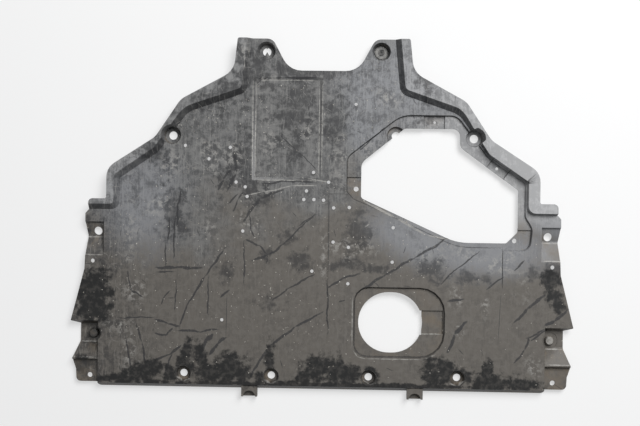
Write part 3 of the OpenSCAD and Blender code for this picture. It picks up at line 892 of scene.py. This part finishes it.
class GeometryTree:
    """A Geometry Nodes tree whose named sizes are set on the modifier."""

    def __init__(self, name: str, inputs: dict[str, tuple[str, object]]) -> None:
        """Starts a tree.

        Args:
            name: The tree's name.
            inputs: Socket type and value by input name.
        """
        self.tree = bpy.data.node_groups.new(name, "GeometryNodeTree")
        self.tree.interface.new_socket("Geometry", in_out="INPUT", socket_type="NodeSocketGeometry")
        self.values = {}
        for label, (kind, value) in inputs.items():
            socket = self.tree.interface.new_socket(label, in_out="INPUT", socket_type=kind)
            self.values[socket.identifier] = value
        self.tree.interface.new_socket("Geometry", in_out="OUTPUT", socket_type="NodeSocketGeometry")
        self.wires = Wires(self.tree)
        self.got = self.wires.node("NodeGroupInput")
        self.out = self.wires.node("NodeGroupOutput")

    def close(self, instances: Socket, material: bpy.types.Material) -> None:
        """Realizes the instances and gives them their material.

        Args:
            instances: What the tree made.
            material: Their finish.
        """
        real = self.wires.node("GeometryNodeRealizeInstances")
        self.wires.feed(real.inputs[0], instances)
        dressed = self.wires.node("GeometryNodeSetMaterial")
        self.wires.feed(dressed.inputs["Geometry"], real.outputs[0])
        dressed.inputs["Material"].default_value = material
        self.wires.feed(self.out.inputs[0], dressed.outputs[0])

    def baked(self, carrier: bpy.types.Object, name: str) -> bpy.types.Object:
        """Applies the tree to a carrier and keeps the result as a plain mesh.

        Args:
            carrier: The object that the tree starts from, which is removed.
            name: Name of the new object.

        Returns:
            The new object.
        """
        modifier = carrier.modifiers.new("tree", "NODES")
        modifier.node_group = self.tree
        for identifier, value in self.values.items():
            modifier[identifier] = value
        bpy.context.view_layer.update()
        graph = bpy.context.evaluated_depsgraph_get()
        mesh = bpy.data.meshes.new_from_object(carrier.evaluated_get(graph), depsgraph=graph)
        mesh.name = name
        made = bpy.data.objects.new(name, mesh)
        bpy.context.scene.collection.objects.link(made)
        bpy.data.objects.remove(carrier)
        return made


@dataclass
class DrainRims:
    """Low raised rim around each drain hole of the flat panel."""

    proud: float = 0.00035
    thickness: float = 0.0011
    sunk: float = 0.0001
    steps_round: int = 28
    steps_across: int = 8

    def build(self, material: bpy.types.Material) -> bpy.types.Object:
        """Makes all rims as one mesh.

        Args:
            material: The moulding's finish.

        Returns:
            The new piece.
        """
        mesh = bpy.data.meshes.new("drain_centres")
        mesh.from_pydata([(x / MM, y / MM, PANEL_Z - self.sunk) for x, y in DRAINS], [], [])
        carrier = bpy.data.objects.new("drain_centres", mesh)
        bpy.context.scene.collection.objects.link(carrier)
        made = GeometryTree("drain_rims", {
            "Hole Radius": ("NodeSocketFloat", DRAIN_RADIUS / MM),
            "Rim Width": ("NodeSocketFloat", self.thickness),
            "Rim Height": ("NodeSocketFloat", self.proud)})
        w = made.wires
        hole, width, height = (made.got.outputs[name] for name in ("Hole Radius", "Rim Width", "Rim Height"))
        middle = w.math("ADD", hole, w.math("MULTIPLY", width, 0.55))
        ring = w.node("GeometryNodeCurvePrimitiveCircle")
        ring.inputs["Resolution"].default_value = self.steps_round
        w.feed(ring.inputs["Radius"], middle)
        section = w.node("GeometryNodeCurvePrimitiveCircle")
        section.inputs["Resolution"].default_value = self.steps_across
        w.feed(section.inputs["Radius"], w.math("MULTIPLY", width, 0.5))
        body = w.node("GeometryNodeCurveToMesh")
        w.feed(body.inputs["Curve"], ring.outputs["Curve"])
        w.feed(body.inputs["Profile Curve"], section.outputs["Curve"])
        flatter = w.node("ShaderNodeCombineXYZ")
        flatter.inputs["X"].default_value = 1.0
        flatter.inputs["Y"].default_value = 1.0
        w.feed(flatter.inputs["Z"], w.math("DIVIDE", height, w.math("MULTIPLY", width, 0.5)))
        spots = w.node("GeometryNodeInstanceOnPoints")
        w.feed(spots.inputs["Points"], made.got.outputs["Geometry"])
        w.feed(spots.inputs["Instance"], body.outputs["Mesh"])
        w.feed(spots.inputs["Scale"], flatter.outputs[0])
        made.close(spots.outputs["Instances"], material)
        piece = made.baked(carrier, "drain_rims")
        piece.data.shade_smooth()
        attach(piece, "root")
        return piece


@dataclass
class MudCrumbs:
    """Small crumbs of dried mud scattered over the upward faces of the panel."""

    density: float = 5500.0
    size: float = 0.0013
    smallest: Colour = (0.35, 0.35, 0.18)
    largest: Colour = (1.35, 1.0, 0.40)
    seed: int = 7

    def build(self, shield: bpy.types.Object, material: bpy.types.Material) -> bpy.types.Object:
        """Scatters the crumbs.

        Args:
            shield: The dressed moulding, whose faces carry them.
            material: Their finish.

        Returns:
            The new piece.
        """
        carrier = bpy.data.objects.new("crumb_carrier", shield.data.copy())
        bpy.context.scene.collection.objects.link(carrier)
        made = GeometryTree("mud_crumbs", {
            "Density": ("NodeSocketFloat", self.density),
            "Crumb Size": ("NodeSocketFloat", self.size),
            "Highest": ("NodeSocketFloat", PANEL_Z + 0.0005)})
        w = made.wires
        normal = w.node("GeometryNodeInputNormal").outputs[0]
        spot = w.node("GeometryNodeInputPosition").outputs[0]
        up = w.node("ShaderNodeSeparateXYZ")
        w.feed(up.inputs[0], normal)
        at = w.node("ShaderNodeSeparateXYZ")
        w.feed(at.inputs[0], spot)
        upward = w.math("GREATER_THAN", up.outputs["Z"], 0.9)
        below = w.math("LESS_THAN", at.outputs["Z"], made.got.outputs["Highest"])
        cloud = w.node("ShaderNodeTexNoise")
        cloud.inputs["Scale"].default_value = 14.0
        w.feed(cloud.inputs["Vector"], spot)
        thick = w.ramp(cloud.outputs["Fac"], 0.46, 0.68)
        scatter = w.node("GeometryNodeDistributePointsOnFaces")
        w.feed(scatter.inputs["Mesh"], made.got.outputs["Geometry"])
        w.feed(scatter.inputs["Selection"], w.math("MULTIPLY", upward, below))
        w.feed(scatter.inputs["Density"], w.math("MULTIPLY", made.got.outputs["Density"], thick))
        scatter.inputs["Seed"].default_value = self.seed
        crumb = w.node("GeometryNodeMeshIcoSphere")
        crumb.inputs["Subdivisions"].default_value = 1
        spread = w.node("FunctionNodeRandomValue", data_type="FLOAT_VECTOR")
        spread.inputs[0].default_value = self.smallest
        spread.inputs[1].default_value = self.largest
        spread.inputs["Seed"].default_value = self.seed + 1
        turn = w.node("FunctionNodeRandomValue", data_type="FLOAT_VECTOR")
        turn.inputs[0].default_value = (0.0, 0.0, 0.0)
        turn.inputs[1].default_value = (0.0, 0.0, FULL_TURN)
        turn.inputs["Seed"].default_value = self.seed + 2
        size = w.node("ShaderNodeVectorMath", operation="SCALE")
        w.feed(size.inputs[0], spread.outputs["Value"])
        w.feed(size.inputs["Scale"], made.got.outputs["Crumb Size"])
        laid = w.node("GeometryNodeInstanceOnPoints")
        w.feed(laid.inputs["Points"], scatter.outputs["Points"])
        w.feed(laid.inputs["Instance"], crumb.outputs["Mesh"])
        w.feed(laid.inputs["Rotation"], turn.outputs["Value"])
        w.feed(laid.inputs["Scale"], size.outputs["Vector"])
        made.close(laid.outputs["Instances"], material)
        piece = made.baked(carrier, "mud_crumbs")
        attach(piece, "root")
        return piece


class Lamp(NamedTuple):
    """A square area lamp aimed at the middle of the part: metres and watts."""

    name: str
    place: Colour
    side: float
    power: float


@dataclass
class Studio:
    """Pale floor, soft light and the camera of the photograph."""

    floor_colour: Colour = (0.80, 0.80, 0.80)
    floor_glow: float = 0.55
    floor_reach: float = 40.0
    floor_level: float = -0.0002
    sky: Colour = (0.93, 0.97, 1.0)
    sky_strength: float = 0.14
    focal_mm: float = 52.6
    eye: Colour = (0.0457, 0.0110, 1.8874)
    lamps: tuple[Lamp, ...] = (
        Lamp("key_lamp", (1.25, 1.75, 2.45), 1.8, 128.0),
        Lamp("fill_lamp", (-1.2, -0.8, 2.6), 2.4, 7.0),
    )

    def build(self) -> None:
        """Makes the floor, the lamps, the world and the camera."""
        self._floor()
        for lamp in self.lamps:
            self._light(lamp)
        world = bpy.data.worlds.new("soft_room")
        world.use_nodes = True
        world.node_tree.nodes["Background"].inputs["Color"].default_value = (*self.sky, 1.0)
        world.node_tree.nodes["Background"].inputs["Strength"].default_value = self.sky_strength
        bpy.context.scene.world = world
        bpy.context.scene.view_settings.view_transform = "Standard"
        self._camera()

    def _floor(self) -> None:
        """Makes the pale floor that the shield lies on."""
        mesh = bpy.data.meshes.new("floor")
        far, low = self.floor_reach, self.floor_level
        mesh.from_pydata([(-far, -far, low), (far, -far, low), (far, far, low), (-far, far, low)], [], [(0, 1, 2, 3)])
        floor = bpy.data.objects.new("floor", mesh)
        bpy.context.scene.collection.objects.link(floor)
        material = bpy.data.materials.new("pale_floor")
        material.use_nodes = True
        w = Wires(material.node_tree)
        shader = material.node_tree.nodes["Principled BSDF"]
        shader.inputs["Base Color"].default_value = (*self.floor_colour, 1.0)
        shader.inputs["Roughness"].default_value = 0.9
        shader.inputs["Specular IOR Level"].default_value = 0.0
        glow = w.node("ShaderNodeEmission")
        glow.inputs["Strength"].default_value = 1.0
        path = w.node("ShaderNodeLightPath").outputs
        seen = w.math("MAXIMUM", path["Is Camera Ray"],
                      w.math("MAXIMUM", path["Is Glossy Ray"], path["Is Transmission Ray"]))
        blend = w.node("ShaderNodeMixShader")
        w.feed(blend.inputs[0], w.math("MULTIPLY", seen, self.floor_glow))
        w.feed(blend.inputs[1], shader.outputs[0])
        w.feed(blend.inputs[2], glow.outputs[0])
        w.feed(material.node_tree.nodes["Material Output"].inputs["Surface"], blend.outputs[0])
        mesh.materials.append(material)

    @staticmethod
    def _light(lamp: Lamp) -> None:
        """Hangs a lamp."""
        light = bpy.data.lights.new(lamp.name, "AREA")
        light.size = lamp.side
        light.energy = lamp.power
        made = bpy.data.objects.new(lamp.name, light)
        made.location = lamp.place
        made.rotation_euler = (-Vector(lamp.place)).to_track_quat("-Z", "Y").to_euler()
        bpy.context.scene.collection.objects.link(made)

    def _camera(self) -> None:
        """Makes the camera, with its axes as the photograph's framing gives them."""
        lens = bpy.data.cameras.new("photo_camera")
        lens.lens = self.focal_mm
        lens.sensor_width = 36.0
        made = bpy.data.objects.new("photo_camera", lens)
        right, up, back = (Vector((0.99956, 0.01379, -0.02635)), Vector((-0.01378, 0.99990, 0.00036)),
                           Vector((0.02635, 0.0, 0.99965)))
        turn = Matrix((right, up, back)).transposed().to_4x4()
        made.matrix_world = Matrix.Translation(self.eye) @ turn
        bpy.context.scene.collection.objects.link(made)
        bpy.context.scene.camera = made


def main() -> None:
    """Builds every sub-assembly in order and reports each piece."""
    logging.basicConfig(level=logging.INFO, format="%(name)s: %(message)s")
    Studio().build()
    shield = ShieldMoulding().build(WornMoulding())
    LOG.info("shield: %d faces", len(shield.data.polygons))
    for piece in PushRetainer().build():
        LOG.info("%s: %d faces", piece.name, len(piece.data.polygons))
    rims = DrainRims().build(shield.data.materials[0])
    LOG.info("drain rims: %d faces", len(rims.data.polygons))
    crumbs = MudCrumbs().build(shield, DriedMud().build())
    LOG.info("mud crumbs: %d faces", len(crumbs.data.polygons))


if __name__ == "__main__":
    main()
